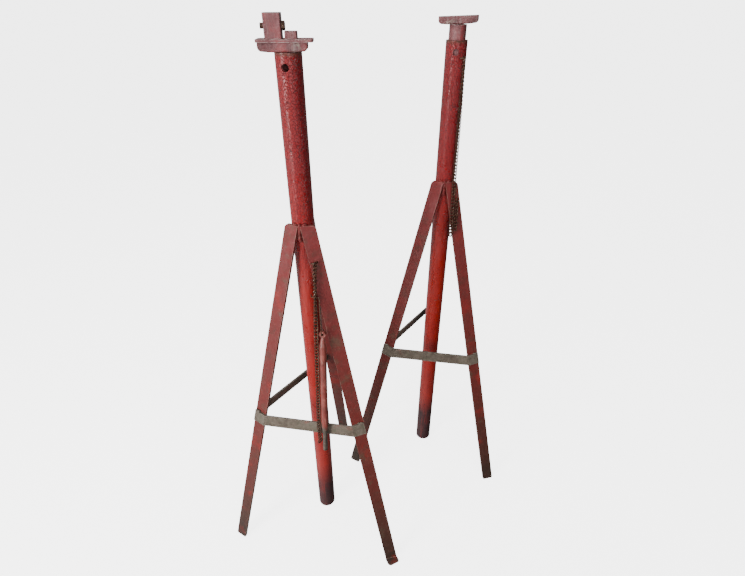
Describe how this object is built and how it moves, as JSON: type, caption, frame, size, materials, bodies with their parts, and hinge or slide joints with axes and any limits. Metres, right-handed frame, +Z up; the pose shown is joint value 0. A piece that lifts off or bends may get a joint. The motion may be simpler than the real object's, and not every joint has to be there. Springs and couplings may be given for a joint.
{
  "type": "tripod axle jack stands",
  "caption": "Pair of tall tripod axle stands: red pipes on splayed flat-bar legs with strap braces, telescoping saddle tubes, hanging chains and a locking bar.",
  "frame": {"origin": "floor level, under the middle of the pair's outline in plan", "axes": "+Z up along the pipes; -Y is the front of both stands; the right stand is towards +X and +Y of the left one"},
  "size_m": [0.6762, 0.6622, 1.1815],
  "materials": {
    "red_pipe_paint": "old gloss enamel, crackled, darker at the foot",
    "red_leg_paint": "dull worn enamel with bare edges",
    "bare_strap": "weathered bare steel, mottled",
    "worn_red_head": "worn mauve-brown enamel with bare patches",
    "rusty_chain": "dark rust",
    "red_bar_paint": "worn enamel with a bare grey tip",
    "dark_bolt": "dark rusty steel"
  },
  "bodies": {
    "left_frame": {"left_outer_pipe": "red_pipe_paint", "left_leg_left": "red_leg_paint", "left_leg_right": "red_leg_paint", "left_leg_back": "red_leg_paint", "left_brace_front": "bare_strap", "left_brace_left": "bare_strap", "left_brace_right": "bare_strap", "left_chain_staple": "rusty_chain"},
    "left_lift": {"left_sliding_tube": "worn_red_head", "left_saddle": "worn_red_head"},
    "left_loose_head": {"left_head_plate": "worn_red_head", "left_head_upright": "worn_red_head", "left_head_bolt": "dark_bolt", "left_head_stop": "worn_red_head"},
    "left_hanging_chain": {"left_chain": "rusty_chain", "left_chain_ring": "rusty_chain"},
    "left_hanging_bar": {"left_locking_bar": "red_bar_paint", "left_bar_hook": "rusty_chain"},
    "right_frame": {"right_outer_pipe": "red_pipe_paint", "right_leg_left": "red_leg_paint", "right_leg_right": "red_leg_paint", "right_leg_back": "red_leg_paint", "right_brace_front": "bare_strap", "right_brace_left": "bare_strap", "right_chain_staple": "rusty_chain"},
    "right_lift": {"right_sliding_tube": "worn_red_head", "right_saddle": "worn_red_head"},
    "right_hanging_chain": {"right_chain": "rusty_chain", "right_chain_tail": "rusty_chain", "right_chain_ring": "rusty_chain"}
  },
  "joints": [
    {"name": "left_extension", "type": "slide", "parent": "left_frame", "child": "left_lift", "axis": [0, 0, 1], "range_m": [0, 0.3]},
    {"name": "left_head_lift_off", "type": "slide", "parent": "left_lift", "child": "left_loose_head", "axis": [0, 0, 1], "range_m": [0, 0.12]},
    {"name": "left_chain_swing", "type": "hinge", "parent": "left_frame", "child": "left_hanging_chain", "pos_m": [-0.09796, -0.21823, 0.78602], "axis": [-0.9107, -0.3866, -0.1457], "range_deg": [0, 60]},
    {"name": "left_bar_swing", "type": "hinge", "parent": "left_hanging_chain", "child": "left_hanging_bar", "pos_m": [-0.09803, -0.23233, 0.72053], "axis": [-1, 0, 0], "range_deg": [0, 45]},
    {"name": "stands_set_apart", "type": "slide", "parent": "left_frame", "child": "right_frame", "axis": [1, 0, 0], "range_m": [0, 0.8]},
    {"name": "right_extension", "type": "slide", "parent": "right_frame", "child": "right_lift", "axis": [0, 0, 1], "range_m": [-0.026, 0.273]},
    {"name": "right_chain_swing", "type": "hinge", "parent": "right_frame", "child": "right_hanging_chain", "pos_m": [0.14348, 0.07226, 1.1], "axis": [-0.766, -0.6428, 0], "range_deg": [0, 60]}
  ]
}
